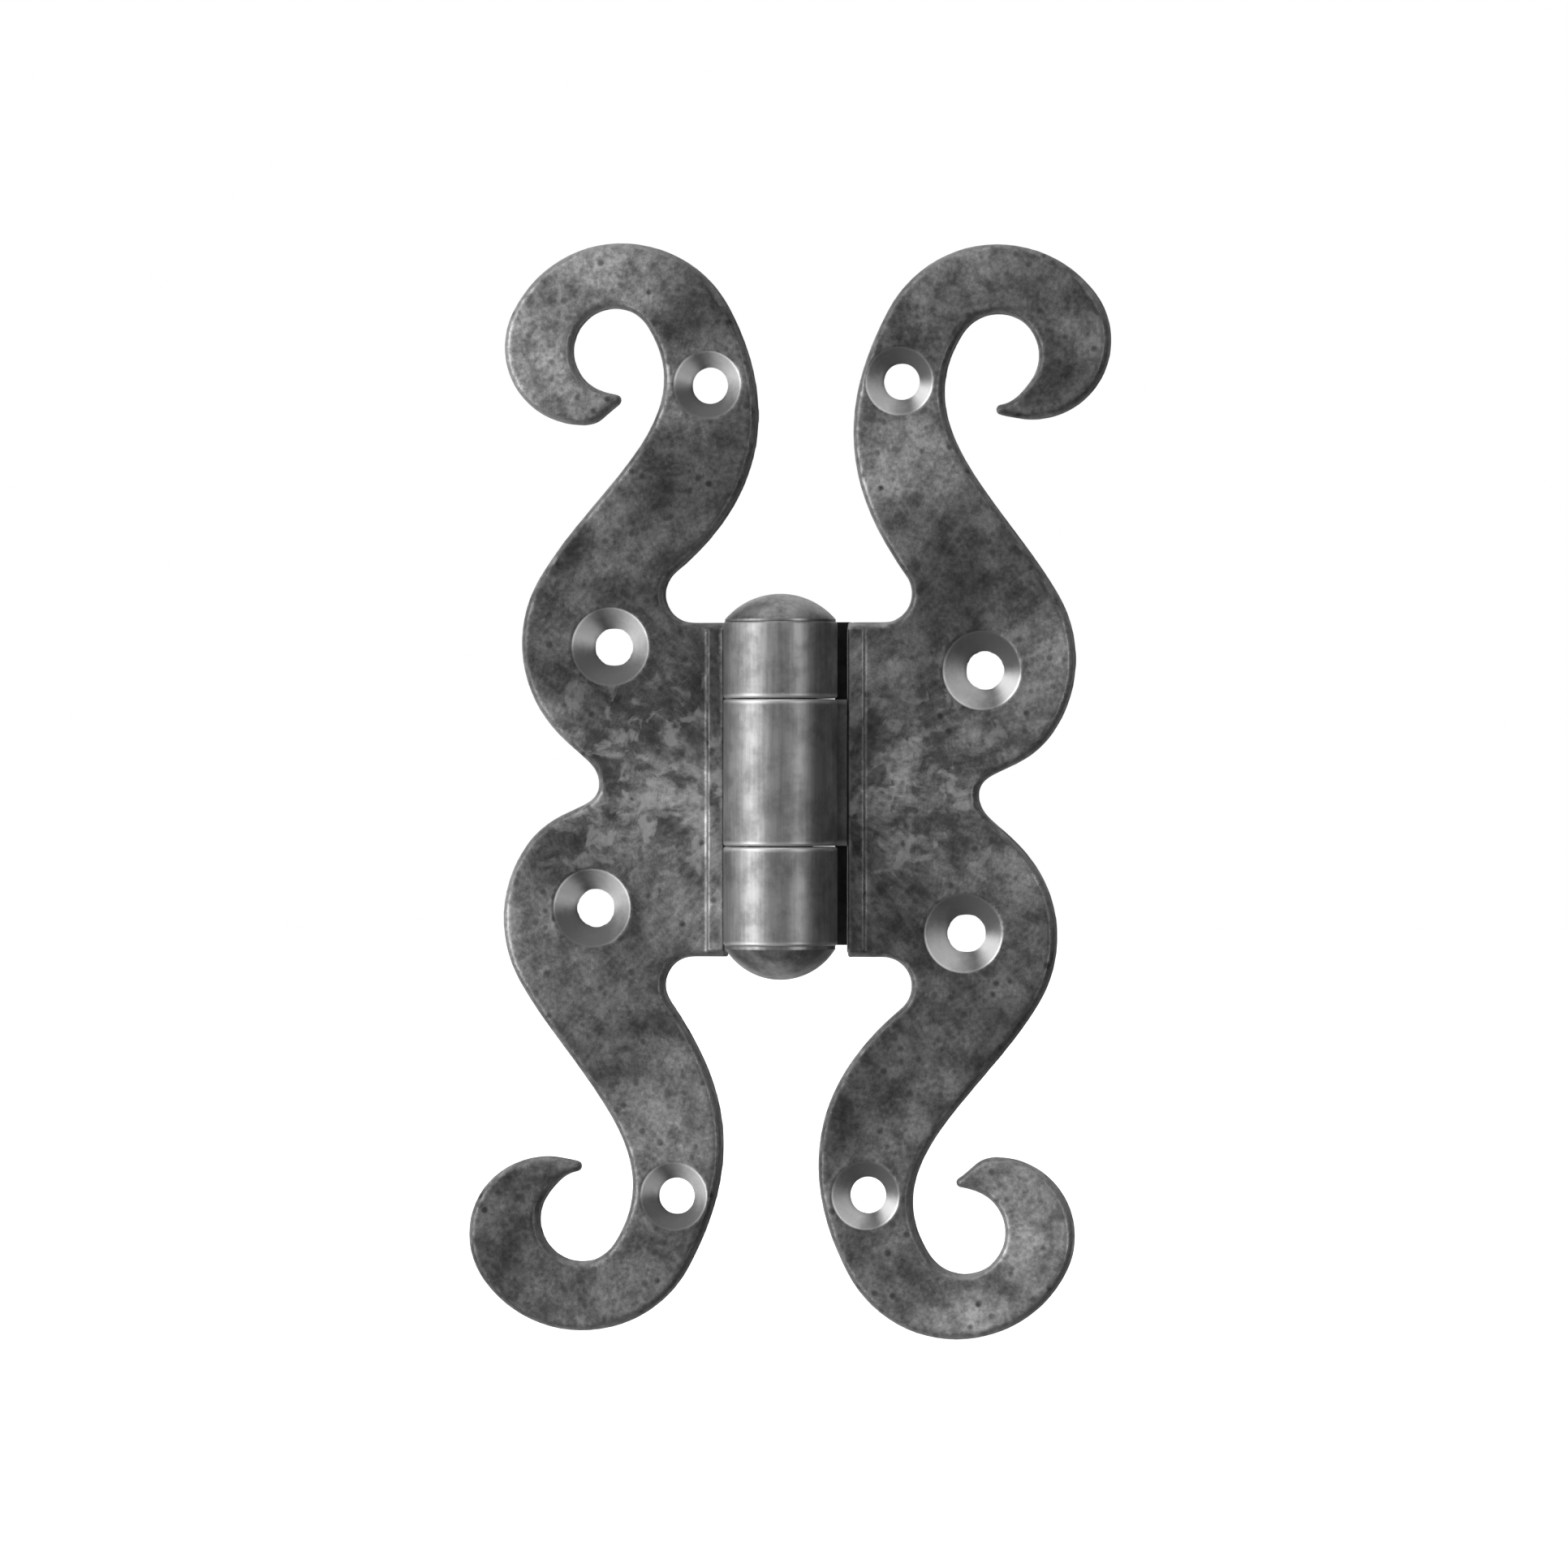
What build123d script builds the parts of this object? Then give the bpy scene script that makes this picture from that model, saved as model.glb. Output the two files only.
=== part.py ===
"""Surface-mounted scroll hinge: two matching leaves with rolled knuckles on a riveted pin.

Millimetres. The pin axis is Z, the front is -Y, and the frame leaf lies towards -X.
Each leaf is one plate: two scroll arms, a root with a raised rib, and knuckles rolled
from the same sheet. The door leaf is the same blank turned half a turn about Y.
"""

import os
from math import acos, cos, degrees, radians, sin

from build123d import *

# Sheet and pin
PLATE_THICKNESS = 3.0
PIN_RADIUS = 4.0
RUNNING_CLEARANCE = 0.06

# Barrel, from the top down
UPPER_KNUCKLE_LENGTH = 9.45
MIDDLE_KNUCKLE_LENGTH = 18.0
LOWER_KNUCKLE_LENGTH = 12.15
KNUCKLE_GAP = 0.1
ROLL_SEAM = 0.2
KNUCKLE_EDGE_BREAK = 0.35

# Root of the leaf, beside the barrel
ROOT_GAP = 0.6
ROOT_FOOT = 1.5
RIB_WIDTH = 2.25
RIB_HEIGHT = 0.5
RIB_EDGE_BREAK = 0.2
LEDGE_THICKNESS = 1.2
LEDGE_REACH = 1.8

# Pin ends
HEAD_RADIUS = 6.8
HEAD_HEIGHT = 3.4
HEAD_RIM = 0.25
DOME_RADIUS = 6.75
DOME_HEIGHT = 4.2
DOME_RIM = 0.4

# Scroll shape, the same on every arm
EYE_RADIUS = 5.2
CROWN_RADIUS = 15.25
TAPER_RADIUS = 9.7
LOBE_RADIUS = 15.7
THROAT_RADIUS = 3.5
THROAT_OUT = 4.4
TIP_RADIUS = 0.7
EDGE_BREAK = 0.6

# Where each arc starts and ends, and which way the inner edge leaves the tip, in degrees
# up from the outward direction
CROWN_START = 152.0
TAPER_END = -91.0
TIP_LEAVE = 8.0
EYE_START = -37.0
EYE_END = 147.0
LOBE_START = 30.0
LOBE_END = -36.0

# How far each blend holds its end directions, as a share of its own length
BACK_PULL = (0.38, 0.46)
NECK_PULL = (0.40, 0.39)
WAIST_PULL = (0.53, 0.29)
TIP_PULL = (0.45, 0.45)
MOUTH_PULL = (0.36, 0.36)

# Upper arm, measured outward from the root edge and upward from the root end
UPPER_EYE_OUT = 14.3
UPPER_EYE_UP = 33.7
UPPER_LOBE_OUT = 10.15
UPPER_LOBE_DROP = 2.55
UPPER_CROWN_IN = 0.95
UPPER_CROWN_DROP = 1.95
UPPER_TAPER_TURN = 26.0
UPPER_TIP_OUT = -0.2
UPPER_TIP_DROP = 6.1
UPPER_TIP_TURN = 148.0
UPPER_THROAT_TURN = 51.0
UPPER_OUTER_SCREW_DROP = 4.4
UPPER_INNER_SCREW_DROP = 0.45

# Lower arm, measured the same way from the other root end
LOWER_EYE_OUT = 18.5
LOWER_EYE_UP = 32.6
LOWER_LOBE_OUT = 12.45
LOWER_LOBE_DROP = 4.65
LOWER_CROWN_IN = 0.1
LOWER_CROWN_DROP = 1.45
LOWER_TAPER_TURN = 37.0
LOWER_TIP_OUT = 0.6
LOWER_TIP_DROP = 6.6
LOWER_TIP_TURN = 172.0
LOWER_THROAT_TURN = 35.0
LOWER_OUTER_SCREW_DROP = 3.0
LOWER_INNER_SCREW_DROP = 1.35

# Waist between the two arms
WAIST_OUT = 16.1
WAIST_RISE = 0.65

# Countersunk screw holes
SCREW_HOLE_RADIUS = 2.25
SCREW_SINK_ANGLE = 90.0
INNER_SINK_RADIUS = 4.85
OUTER_SINK_RADIUS = 4.2
INNER_SCREW_OUT = 4.35
OUTER_SCREW_IN = 12.0

# Sizes that follow from the ones above
barrel_radius = PIN_RADIUS + PLATE_THICKNESS
roll_sweep = 360 - degrees(acos((PIN_RADIUS - ROLL_SEAM) / barrel_radius))
root_edge = barrel_radius + ROOT_GAP
barrel_length = UPPER_KNUCKLE_LENGTH + MIDDLE_KNUCKLE_LENGTH + LOWER_KNUCKLE_LENGTH + 2 * KNUCKLE_GAP
root_half = (barrel_length + ROOT_FOOT) / 2
barrel_top = root_half
upper_floor = barrel_top - UPPER_KNUCKLE_LENGTH
middle_top = upper_floor - KNUCKLE_GAP
middle_floor = middle_top - MIDDLE_KNUCKLE_LENGTH
lower_top = middle_floor - KNUCKLE_GAP
barrel_floor = lower_top - LOWER_KNUCKLE_LENGTH

ledge_centre = (root_edge - LEDGE_REACH / 2, barrel_radius - LEDGE_THICKNESS / 2)

back_plane = Plane.XZ.offset(-barrel_radius)
front_plane = Plane.XZ.offset(-PIN_RADIUS)


class Arm:
    """One scroll arm, in leaf axes: X outward from the pin, Y upward along the arm."""

    def __init__(self, eye, lobe, crown_shift, taper_turn, tip, tip_turn, throat_turn, inner_drop,
                 outer_drop):
        self.eye = Vector(root_edge + eye[0], root_half + eye[1])
        self.lobe = Vector(root_edge + lobe[0], root_half + lobe[1])
        self.throat = Vector(root_edge + THROAT_OUT, root_half + THROAT_RADIUS)
        self.crown = self.eye + Vector(*crown_shift)
        self.taper = self.crown + heading(taper_turn) * (CROWN_RADIUS - TAPER_RADIUS)
        self.tip = self.eye + Vector(*tip)
        self.taper_turn = taper_turn
        self.tip_turn = tip_turn
        self.throat_turn = throat_turn
        self.inner_screw = self.lobe + Vector(INNER_SCREW_OUT, -inner_drop)
        self.outer_screw = self.eye + Vector(-OUTER_SCREW_IN, -outer_drop)


def heading(turn):
    """Unit direction at an angle from the outward direction."""
    return Vector(cos(radians(turn)), sin(radians(turn)))


def rim(centre, radius, turn):
    """Point on a circle at an angle from the outward direction."""
    return centre + heading(turn) * radius


def place(point, side):
    """Leaf axes to sketch axes of the left-hand blank: side is -1 for the lower arm."""
    return (-point.X, side * point.Y)


def draw_arc(centre, radius, start, end, side):
    stations = [rim(centre, radius, angle) for angle in (start, (start + end) / 2, end)]
    ThreePointArc(*[place(point, side) for point in stations])


def draw_blend(start, start_way, end, end_way, pull, side):
    reach = (end - start).length
    first = start + start_way * (pull[0] * reach)
    second = end - end_way * (pull[1] * reach)
    Bezier(*[place(point, side) for point in (start, first, second, end)])


def draw_arm(arm, side):
    """Outline of one arm, from the root edge round the scroll to the waist."""
    root_corner = Vector(root_edge, root_half)
    throat_start = rim(arm.throat, THROAT_RADIUS, -90)
    throat_end = rim(arm.throat, THROAT_RADIUS, arm.throat_turn)
    crown_start = rim(arm.crown, CROWN_RADIUS, CROWN_START)
    taper_end = rim(arm.taper, TAPER_RADIUS, TAPER_END)
    tip_outer = rim(arm.tip, TIP_RADIUS, arm.tip_turn + 90)
    tip_inner = rim(arm.tip, TIP_RADIUS, TIP_LEAVE + 90)
    eye_start = rim(arm.eye, EYE_RADIUS, EYE_START)
    eye_end = rim(arm.eye, EYE_RADIUS, EYE_END)
    lobe_start = rim(arm.lobe, LOBE_RADIUS, LOBE_START)
    lobe_end = rim(arm.lobe, LOBE_RADIUS, LOBE_END)
    waist = Vector(root_edge + WAIST_OUT, side * WAIST_RISE)

    Line(place(root_corner, side), place(throat_start, side))
    draw_arc(arm.throat, THROAT_RADIUS, -90, arm.throat_turn, side)
    back_way = heading(arm.throat_turn + 90)
    draw_blend(throat_end, back_way, crown_start, heading(CROWN_START - 90), BACK_PULL, side)
    draw_arc(arm.crown, CROWN_RADIUS, CROWN_START, arm.taper_turn, side)
    draw_arc(arm.taper, TAPER_RADIUS, arm.taper_turn, TAPER_END, side)
    draw_blend(taper_end, heading(TAPER_END - 90), tip_outer, heading(arm.tip_turn), TIP_PULL, side)
    draw_arc(arm.tip, TIP_RADIUS, arm.tip_turn + 90, TIP_LEAVE + 90, side)
    draw_blend(tip_inner, heading(TIP_LEAVE), eye_start, heading(EYE_START + 90), MOUTH_PULL, side)
    draw_arc(arm.eye, EYE_RADIUS, EYE_START, EYE_END, side)
    draw_blend(eye_end, heading(EYE_END + 90), lobe_start, heading(LOBE_START - 90), NECK_PULL, side)
    draw_arc(arm.lobe, LOBE_RADIUS, LOBE_START, LOBE_END, side)
    draw_blend(lobe_end, heading(LOBE_END - 90), waist, heading(-90), WAIST_PULL, side)


def roll_point(radius, sweep, side):
    """Point of the roll, swept from straight behind the pin; side is -1 for the door leaf."""
    return (side * radius * sin(radians(sweep)), radius * cos(radians(sweep)))


def draw_roll(bore_radius, side):
    """Cross-section of a knuckle: the sheet runs behind the pin and curls round to its own front."""
    sweeps = (0, roll_sweep / 2, roll_sweep)
    outer = [roll_point(barrel_radius, sweep, side) for sweep in sweeps]
    inner = [roll_point(bore_radius, sweep, side) for sweep in sweeps]
    ThreePointArc(*outer)
    Line(outer[-1], inner[-1])
    ThreePointArc(*reversed(inner))
    Line(inner[0], outer[0])


upper_arm = Arm(
    eye=(UPPER_EYE_OUT, UPPER_EYE_UP),
    lobe=(UPPER_LOBE_OUT, -UPPER_LOBE_DROP),
    crown_shift=(-UPPER_CROWN_IN, -UPPER_CROWN_DROP),
    taper_turn=UPPER_TAPER_TURN,
    tip=(UPPER_TIP_OUT, -UPPER_TIP_DROP),
    tip_turn=UPPER_TIP_TURN,
    throat_turn=UPPER_THROAT_TURN,
    inner_drop=UPPER_INNER_SCREW_DROP,
    outer_drop=UPPER_OUTER_SCREW_DROP,
)
lower_arm = Arm(
    eye=(LOWER_EYE_OUT, LOWER_EYE_UP),
    lobe=(LOWER_LOBE_OUT, -LOWER_LOBE_DROP),
    crown_shift=(-LOWER_CROWN_IN, -LOWER_CROWN_DROP),
    taper_turn=LOWER_TAPER_TURN,
    tip=(LOWER_TIP_OUT, -LOWER_TIP_DROP),
    tip_turn=LOWER_TIP_TURN,
    throat_turn=LOWER_THROAT_TURN,
    inner_drop=LOWER_INNER_SCREW_DROP,
    outer_drop=LOWER_OUTER_SCREW_DROP,
)

# Leaf blank: scroll plate with broken front edges, root rib and countersunk screw holes
with BuildPart() as leaf_blank:
    with BuildSketch(back_plane):
        with BuildLine():
            draw_arm(upper_arm, 1)
            draw_arm(lower_arm, -1)
            Line((-root_edge, root_half), (-root_edge, -root_half))
        make_face()
    extrude(amount=PLATE_THICKNESS)
    front_edges = leaf_blank.faces().sort_by(Axis.Y)[0].edges()
    root_line = front_edges.filter_by(Axis.Z)
    chamfer(front_edges - root_line, EDGE_BREAK)

    with BuildSketch(front_plane):
        with Locations((-root_edge - RIB_WIDTH / 2, 0)):
            Rectangle(RIB_WIDTH, 2 * (root_half - EDGE_BREAK))
    extrude(amount=RIB_HEIGHT)
    chamfer(leaf_blank.faces().sort_by(Axis.Y)[0].edges(), RIB_EDGE_BREAK)

    with Locations(front_plane):
        with Locations(place(upper_arm.inner_screw, 1), place(lower_arm.inner_screw, -1)):
            CounterSinkHole(SCREW_HOLE_RADIUS, INNER_SINK_RADIUS, 2 * PLATE_THICKNESS, SCREW_SINK_ANGLE)
        with Locations(place(upper_arm.outer_screw, 1), place(lower_arm.outer_screw, -1)):
            CounterSinkHole(SCREW_HOLE_RADIUS, OUTER_SINK_RADIUS, 2 * PLATE_THICKNESS, SCREW_SINK_ANGLE)

# Frame leaf: the blank with its upper and lower knuckles, tight on the pin, and a ledge behind the third
frame_knuckles = ((upper_floor, UPPER_KNUCKLE_LENGTH), (barrel_floor, LOWER_KNUCKLE_LENGTH))
with BuildPart() as frame_leaf:
    for floor, length in frame_knuckles:
        with BuildSketch(Plane.XY.offset(floor)):
            with BuildLine():
                draw_roll(PIN_RADIUS, 1)
            make_face()
        extrude(amount=length)
    roll_ends = frame_leaf.edges().filter_by(GeomType.CIRCLE).group_by(SortBy.RADIUS)[-1]
    chamfer(roll_ends, KNUCKLE_EDGE_BREAK)
    for floor, length in frame_knuckles:
        with BuildSketch(Plane.XY.offset(floor)):
            with Locations((-root_edge / 2, barrel_radius - PLATE_THICKNESS / 2)):
                Rectangle(root_edge, PLATE_THICKNESS)
        extrude(amount=length)
    with BuildSketch(Plane.XY.offset(barrel_floor)):
        with Locations((-ledge_centre[0], ledge_centre[1])):
            Rectangle(LEDGE_REACH, LEDGE_THICKNESS)
    extrude(amount=barrel_length)
    add(leaf_blank.part)

# Door leaf: the same blank turned half a turn, with its ledge, and one knuckle free to run on the pin
door_bore_radius = PIN_RADIUS + RUNNING_CLEARANCE
with BuildPart() as door_leaf:
    with BuildSketch(Plane.XY.offset(middle_floor)):
        with BuildLine():
            draw_roll(door_bore_radius, -1)
        make_face()
    extrude(amount=MIDDLE_KNUCKLE_LENGTH)
    roll_ends = door_leaf.edges().filter_by(GeomType.CIRCLE).group_by(SortBy.RADIUS)[-1]
    chamfer(roll_ends, KNUCKLE_EDGE_BREAK)
    with BuildSketch(Plane.XY.offset(middle_floor)):
        with Locations((root_edge / 2, barrel_radius - PLATE_THICKNESS / 2)):
            Rectangle(root_edge, PLATE_THICKNESS)
        Circle(door_bore_radius, mode=Mode.SUBTRACT)
    extrude(amount=MIDDLE_KNUCKLE_LENGTH)
    with BuildSketch(Plane.XY.offset(barrel_floor)):
        with Locations(ledge_centre):
            Rectangle(LEDGE_REACH, LEDGE_THICKNESS)
    extrude(amount=barrel_length)
    add(leaf_blank.part, rotation=(0, 180, 0))

# Pin: a turned shank with a button head on top and a domed, riveted end below
head_top = barrel_top + HEAD_HEIGHT
head_shoulder = (HEAD_RADIUS, barrel_top + HEAD_RIM)
dome_foot = barrel_floor - DOME_HEIGHT
dome_shoulder = (DOME_RADIUS, barrel_floor - DOME_RIM)
with BuildPart() as hinge_pin:
    with BuildSketch(Plane.XZ):
        with BuildLine():
            Line((PIN_RADIUS, barrel_floor), (PIN_RADIUS, barrel_top))
            Polyline((PIN_RADIUS, barrel_top), (HEAD_RADIUS, barrel_top), head_shoulder)
            TangentArc((0, head_top), head_shoulder, tangent=(1, 0))
            Line((0, head_top), (0, dome_foot))
            TangentArc((0, dome_foot), dome_shoulder, tangent=(1, 0))
            Polyline(dome_shoulder, (DOME_RADIUS, barrel_floor), (PIN_RADIUS, barrel_floor))
        make_face()
    revolve(axis=Axis.Z)

frame_leaf.part.label = "frame_leaf"
door_leaf.part.label = "door_leaf"
hinge_pin.part.label = "hinge_pin"

os.makedirs("parts", exist_ok=True)
export_step(frame_leaf.part, "parts/frame_leaf.step")
export_step(door_leaf.part, "parts/door_leaf.step")
export_step(hinge_pin.part, "parts/hinge_pin.step")
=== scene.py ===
"""Scroll hinge: two forged, blackened leaves with rolled knuckles, on a burnished pin.

Sizes are named in millimetres and turned to metres with MM where they are used. The frame leaf lies
towards -X, the front is -Y, and Z runs up the pin. A leaf's side is -1 for the frame leaf and 1 for
the door leaf, which is the same blank turned half a turn.
"""

import math

import bmesh
import bpy
import numpy as np
from mathutils import Matrix, Vector, kdtree, noise


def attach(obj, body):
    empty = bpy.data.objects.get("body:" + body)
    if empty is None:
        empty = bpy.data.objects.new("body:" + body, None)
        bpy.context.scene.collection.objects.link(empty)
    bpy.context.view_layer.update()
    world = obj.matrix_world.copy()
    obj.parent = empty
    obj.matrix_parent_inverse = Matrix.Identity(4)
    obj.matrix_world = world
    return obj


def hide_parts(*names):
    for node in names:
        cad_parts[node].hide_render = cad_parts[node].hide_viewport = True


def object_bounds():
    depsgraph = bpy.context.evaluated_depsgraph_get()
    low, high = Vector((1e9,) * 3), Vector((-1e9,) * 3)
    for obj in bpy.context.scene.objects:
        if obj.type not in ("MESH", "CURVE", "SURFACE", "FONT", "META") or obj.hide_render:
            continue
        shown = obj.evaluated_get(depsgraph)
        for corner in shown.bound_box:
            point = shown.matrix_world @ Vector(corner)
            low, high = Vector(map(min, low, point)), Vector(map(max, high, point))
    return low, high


MM = 0.001

# Sizes repeated from the CAD part, with the sweep of the roll in degrees
BARREL_RADIUS = 7.0
BORE_RADIUS = 4.06
ROLL_SWEEP = 302.9
KNUCKLE_EDGE = 0.35
FRONT_FACE = 4.0
BACK_FACE = 7.0
ROOT_EDGE = 7.6
ROOT_HALF = 20.65
RIB_WIDTH = 2.25
LEDGE_THICKNESS = 1.2
LEDGE_REACH = 1.8
BARREL_TOP = 20.65
BARREL_FLOOR = -19.15
UPPER_KNUCKLE_FLOOR = 11.2
MIDDLE_KNUCKLE_TOP = 11.1
MIDDLE_KNUCKLE_FLOOR = -6.9
LOWER_KNUCKLE_TOP = -7.0

# Floor and top of each leaf's knuckles, and of its ledges behind the other leaf's knuckles
FRAME_KNUCKLES = ((UPPER_KNUCKLE_FLOOR, BARREL_TOP), (BARREL_FLOOR, LOWER_KNUCKLE_TOP))
FRAME_LEDGES = ((LOWER_KNUCKLE_TOP, UPPER_KNUCKLE_FLOOR),)
DOOR_KNUCKLES = ((MIDDLE_KNUCKLE_FLOOR, MIDDLE_KNUCKLE_TOP),)
DOOR_LEDGES = ((MIDDLE_KNUCKLE_TOP, BARREL_TOP), (BARREL_FLOOR, MIDDLE_KNUCKLE_FLOOR))

# How the plates are cut from the solids and meshed
GRAIN_OF_MESH = 0.35
LINE_STEP = 0.1
WELD = 0.001
ROOT_CUT = 0.02
BARREL_ROOM = 9.0
SMALLEST_SINK = 3.0
LARGEST_SINK = 11.0
ROUND_WITHIN = 0.1

# How the rims at the back are softened: reach, passes, and the share of the way in each pass
RIM_REACH = 0.8
RIM_PASSES = 6
RIM_PULL = 0.5

# How the knuckles are meshed: points round the roll, and angles in degrees
ROLL_POINTS = 121
ROUNDING_ANGLES = (0, 22.5, 45, 67.5, 90)
CREASE_ANGLE = 32

# Forging relief: wave and depth of the broad dents, the hammer marks and the pits, and where it fades out
FORGING = ((11.0, 0.10), (2.4, 0.035), (1.1, 0.02))
FADE_BY_BACK = 0.5
FADE_BY_SINK = 0.6

# Where wear reaches, in the marks that the materials read
NOT_SUNK = 99.0
FAR_FROM_EDGE = 9.0
RUBBED_REACH = 1.2
RIB_OUTER_EDGE = 0.4  # how much less the rib's outer edge is rubbed than its inner one
SIDE_START = 0.7
SIDE_FADE = 0.5
SIDE_UNRUBBED = 2.0
BACK_SKIN = 0.05
PATINA_START = 1.0  # how far behind the pin's axis the burnish begins to give way
PATINA_FULL = 6.0
FACES_AWAY = 0.5  # how much a ledge's face leans back or endwards to count as facing there

# Patches rubbed lighter and one with chipped scale: outward from the pin, up the leaf, reach, how strong
RUBBED_PATCHES = ((32.0, 53.0, 12.0, 1.0), (24.0, 65.0, 8.0, 1.0), (13.0, 50.0, 8.0, 0.3),
                  (35.0, 7.0, 5.0, 1.0), (13.0, -1.0, 5.0, 0.85), (38.0, -16.0, 7.0, 1.0),
                  (8.0, -15.0, 6.0, 0.8), (14.0, -42.0, 7.0, 0.75), (24.0, -66.0, 8.0, 0.4))
FLECKED_PATCH = (18.0, 0.0, 14.0, 0.9)

# Wedges of painted highlight in each countersink, standing for the gleam of its turned cone: turn from the
# pin's side and half width in degrees, and how bright
PAINTED_GLEAM_WEDGES = ((40.0, 60.0, 0.66), (150.0, 30.0, 0.9))

# Sizes of the patterns in the finishes, and depths of their bumps
CLOUD = 15.0
MOTTLE = 4.5
GRAIN = 0.55  # drawn coarser than the real grain, which is too fine to show
PITS = 1.9
CHIPS = 2.4
STREAK = 0.5  # drawn coarser than the real burnishing lines, which are too fine to show
STREAK_SQUEEZE = 0.06  # how little the pattern changes along the barrel, so that the streaks run long
SMOKE = 4.0
PLATE_BUMP = 0.09
STREAK_BUMP = 0.03

# Painted shade on the pin: how far it reaches up the head and down the dome, and how uneven its border is
HEAD_SHADE = 1.3
DOME_SHADE = 3.0
SHADE_WAVE = 3.5
SHADE_SPREAD = 4.0

# The photograph: its width in pixels, pixels to a millimetre, and the hinge's middle in it
PHOTO_WIDTH = 1932
PIXELS_PER_MM = 10.0
HINGE_MIDDLE = (968.5, 973.0)

# The camera, with its angle in degrees from the front and its nearest view in metres
CAMERA_AZIMUTH = 10.0
CAMERA_LENS = 200.0
SENSOR_WIDTH = 36.0
NEAREST_VIEW = 0.01

# The studio: half the floor's width in metres, the gap under the hinge, and the room that the metal mirrors
FLOOR_HALF = 3.0
FLOOR_GAP = 0.2
ROOM_LEAN = (-0.95, 0.0, 0.3)  # the way that the room brightens
ROOM_DIM = 0.04
ROOM_BRIGHT = 0.95

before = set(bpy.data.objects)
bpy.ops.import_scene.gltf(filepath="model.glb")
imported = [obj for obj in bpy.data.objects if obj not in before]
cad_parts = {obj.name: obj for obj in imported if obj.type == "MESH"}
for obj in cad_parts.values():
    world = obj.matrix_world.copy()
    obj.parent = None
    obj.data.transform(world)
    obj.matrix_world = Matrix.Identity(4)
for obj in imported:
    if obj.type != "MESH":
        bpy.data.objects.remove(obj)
cad_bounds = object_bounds()


def linear(hex_colour):
    """An sRGB hex colour as linear RGBA."""
    parts = [int(hex_colour[i:i + 2], 16) / 255 for i in (1, 3, 5)]
    return tuple(p / 12.92 if p <= 0.04045 else ((p + 0.055) / 1.055) ** 2.4 for p in parts) + (1.0,)


def per_mm(size):
    """Texture scale that gives features of about this many millimetres."""
    return 1 / (size * MM)


def add_node(tree, kind, settings=None, inputs=None):
    """One shader node, with its own options, and values or other nodes' sockets for its inputs."""
    node = tree.nodes.new(kind)
    for name, value in (settings or {}).items():
        setattr(node, name, value)
    for name, value in (inputs or {}).items():
        if isinstance(value, bpy.types.NodeSocket):
            tree.links.new(value, node.inputs[name])
        else:
            node.inputs[name].default_value = value
    return node


# Options that many nodes share, and the colour mix node's sockets, by number because its names repeat
SMOOTH = {"interpolation_type": "SMOOTHSTEP"}
COLOUR_MIX = {"data_type": "RGBA", "clamp_factor": True}
OVERLAY = {**COLOUR_MIX, "blend_type": "OVERLAY"}
MIX_FACTOR, MIX_A, MIX_B, MIX_OUT = 0, 6, 7, 2


def new_material(name):
    """An empty material, its node tree and the tree's principled shader."""
    material = bpy.data.materials.new(name)
    material.use_nodes = True
    tree = material.node_tree
    return material, tree, tree.nodes["Principled BSDF"]


def patina(tree, place):
    """Blackened steel's own colour: cloudy dark greys with a mottle over them, a fine grain, and small
    darker pits. The mottle, plain and with more contrast, and the grain come back with it."""
    cloud = add_node(tree, "ShaderNodeTexNoise", None,
                     {"Vector": place, "Scale": per_mm(CLOUD), "Detail": 3.0, "Roughness": 0.55})
    mottle = add_node(tree, "ShaderNodeTexNoise", None,
                      {"Vector": place, "Scale": per_mm(MOTTLE), "Detail": 8.0, "Roughness": 0.72})
    grain = add_node(tree, "ShaderNodeTexNoise", None,
                     {"Vector": place, "Scale": per_mm(GRAIN), "Detail": 2.0, "Roughness": 0.6})
    pits = add_node(tree, "ShaderNodeTexVoronoi", {"feature": "F1"},
                    {"Vector": place, "Scale": per_mm(PITS), "Randomness": 1.0})
    hand = add_node(tree, "ShaderNodeAttribute", {"attribute_name": "hand_rubbed"}).outputs["Fac"]
    cloudy = add_node(tree, "ShaderNodeMapRange", SMOOTH,
                      {"Value": cloud.outputs["Fac"], "From Min": 0.36, "From Max": 0.66})
    mottled = add_node(tree, "ShaderNodeMapRange", SMOOTH,
                       {"Value": mottle.outputs["Fac"], "From Min": 0.3, "From Max": 0.7})
    grained = add_node(tree, "ShaderNodeMapRange", None,
                       {"Value": grain.outputs["Fac"], "From Min": 0.3, "From Max": 0.7})
    pitted = add_node(tree, "ShaderNodeMapRange", SMOOTH,
                      {"Value": pits.outputs["Distance"], "From Min": 0.10, "From Max": 0.32,
                       "To Min": 1.0, "To Max": 0.0})
    black = add_node(tree, "ShaderNodeMix", COLOUR_MIX,
                     {MIX_FACTOR: cloudy.outputs[0], MIX_A: linear("#484848"), MIX_B: linear("#6c6c6c")})
    base = add_node(tree, "ShaderNodeMix", COLOUR_MIX,
                    {MIX_FACTOR: hand, MIX_A: black.outputs[MIX_OUT], MIX_B: linear("#949494")})
    spotted = add_node(tree, "ShaderNodeMix", OVERLAY,
                       {MIX_FACTOR: 0.55, MIX_A: base.outputs[MIX_OUT], MIX_B: mottled.outputs[0]})
    grainy = add_node(tree, "ShaderNodeMix", OVERLAY,
                      {MIX_FACTOR: 0.3, MIX_A: spotted.outputs[MIX_OUT], MIX_B: grained.outputs[0]})
    dark_pits = add_node(tree, "ShaderNodeMath", {"operation": "MULTIPLY"},
                         {0: pitted.outputs[0], 1: mottled.outputs[0]})
    marked = add_node(tree, "ShaderNodeMix", COLOUR_MIX,
                      {MIX_FACTOR: dark_pits.outputs[0], MIX_A: grainy.outputs[MIX_OUT],
                       MIX_B: linear("#333333")})
    return marked.outputs[MIX_OUT], mottle.outputs["Fac"], mottled.outputs[0], grain.outputs["Fac"]


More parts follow.
